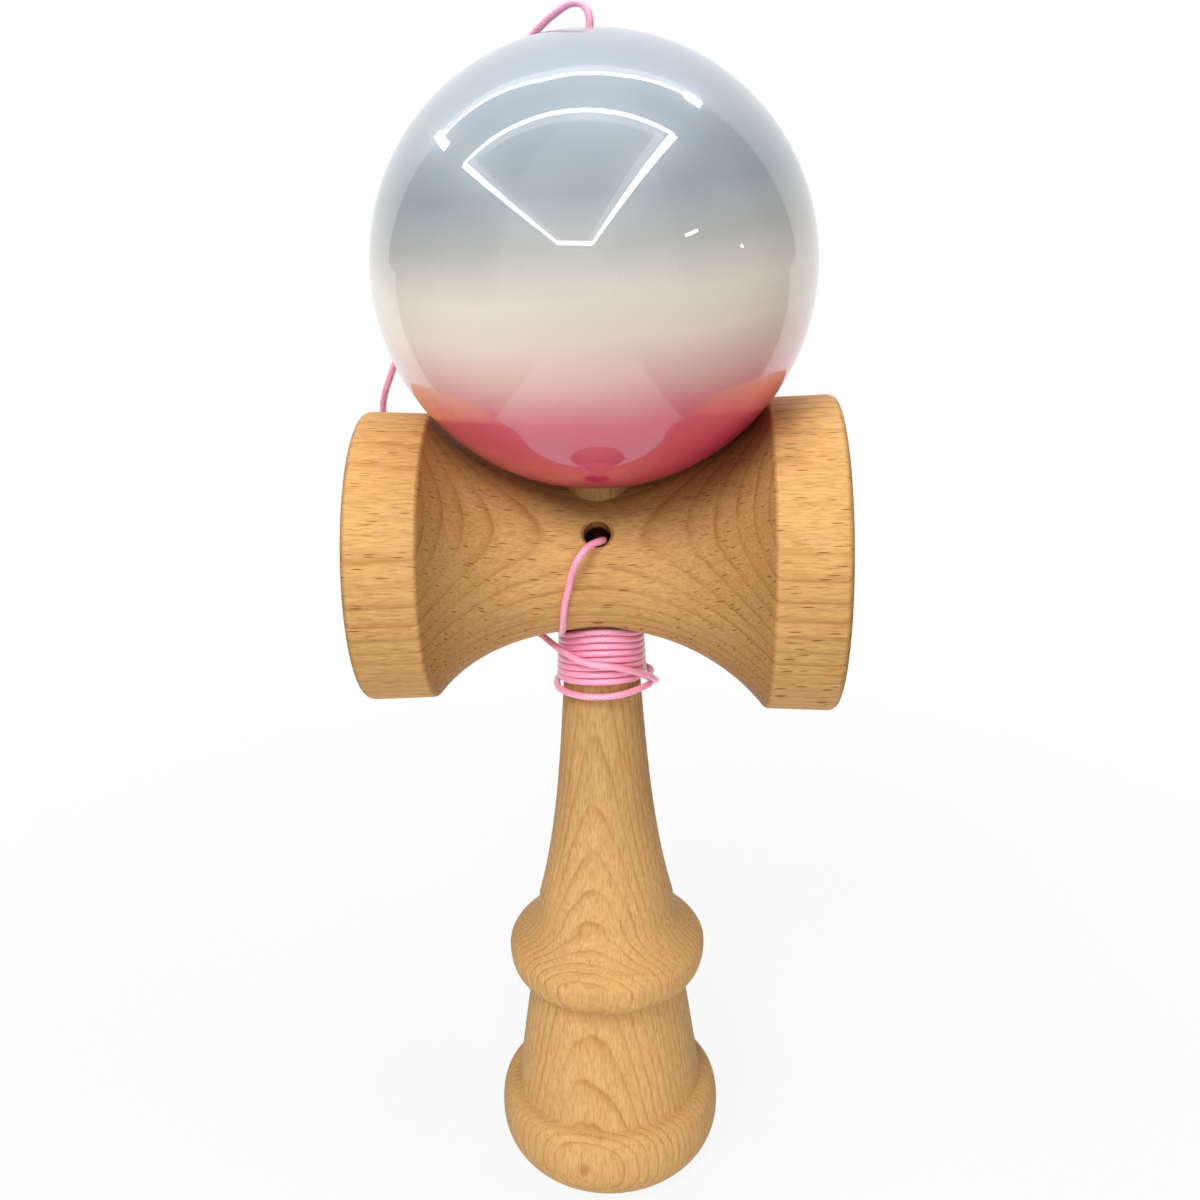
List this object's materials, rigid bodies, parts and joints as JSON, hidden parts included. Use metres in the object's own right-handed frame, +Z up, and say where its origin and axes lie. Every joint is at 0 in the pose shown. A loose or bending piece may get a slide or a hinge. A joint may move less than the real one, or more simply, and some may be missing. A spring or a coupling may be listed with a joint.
{
  "type": "kendama",
  "caption": "Wooden cup-and-ball toy: a turned handle with a spike, a cross-piece with a cup at each end, and a lacquered ball resting over the spike on a wound string.",
  "frame": {"origin": "centre of the base cup's rim on the ground", "axes": "+Z up the handle to the spike and ball, +X out of the big cup, -X out of the small cup, -Y out of the string hole"},
  "size_m": [0.0679, 0.06, 0.1795],
  "materials": {
    "beech": "fine sanded and waxed beech, grain along the handle",
    "beech_cross": "fine sanded and waxed beech, grain along the cross-piece",
    "ball_lacquer": "gloss lacquer that fades from blue-grey through cream to rose",
    "bead_wood": "plain turned wood",
    "string": "braided pink nylon"
  },
  "bodies": {
    "ken": {"ken": "beech", "cross_piece": "beech_cross", "anchor_knot": "string", "string_lead": "string", "string_winding": "string", "string_tail": "string"},
    "string_end": {"bead": "bead_wood", "bead_knot": "string", "string_in_ball": "string"},
    "ball": {"ball": "ball_lacquer"}
  },
  "joints": [
    {"name": "ball_lift", "type": "slide", "parent": "ken", "child": "string_end", "axis": [0, 0, 1], "range_m": [0, 0.045], "deforming": ["string_tail"]},
    {"name": "ball_spin", "type": "hinge", "parent": "string_end", "child": "ball", "pos_m": [0, 0, 0.14638], "axis": [0, 0, 1], "continuous": true}
  ]
}
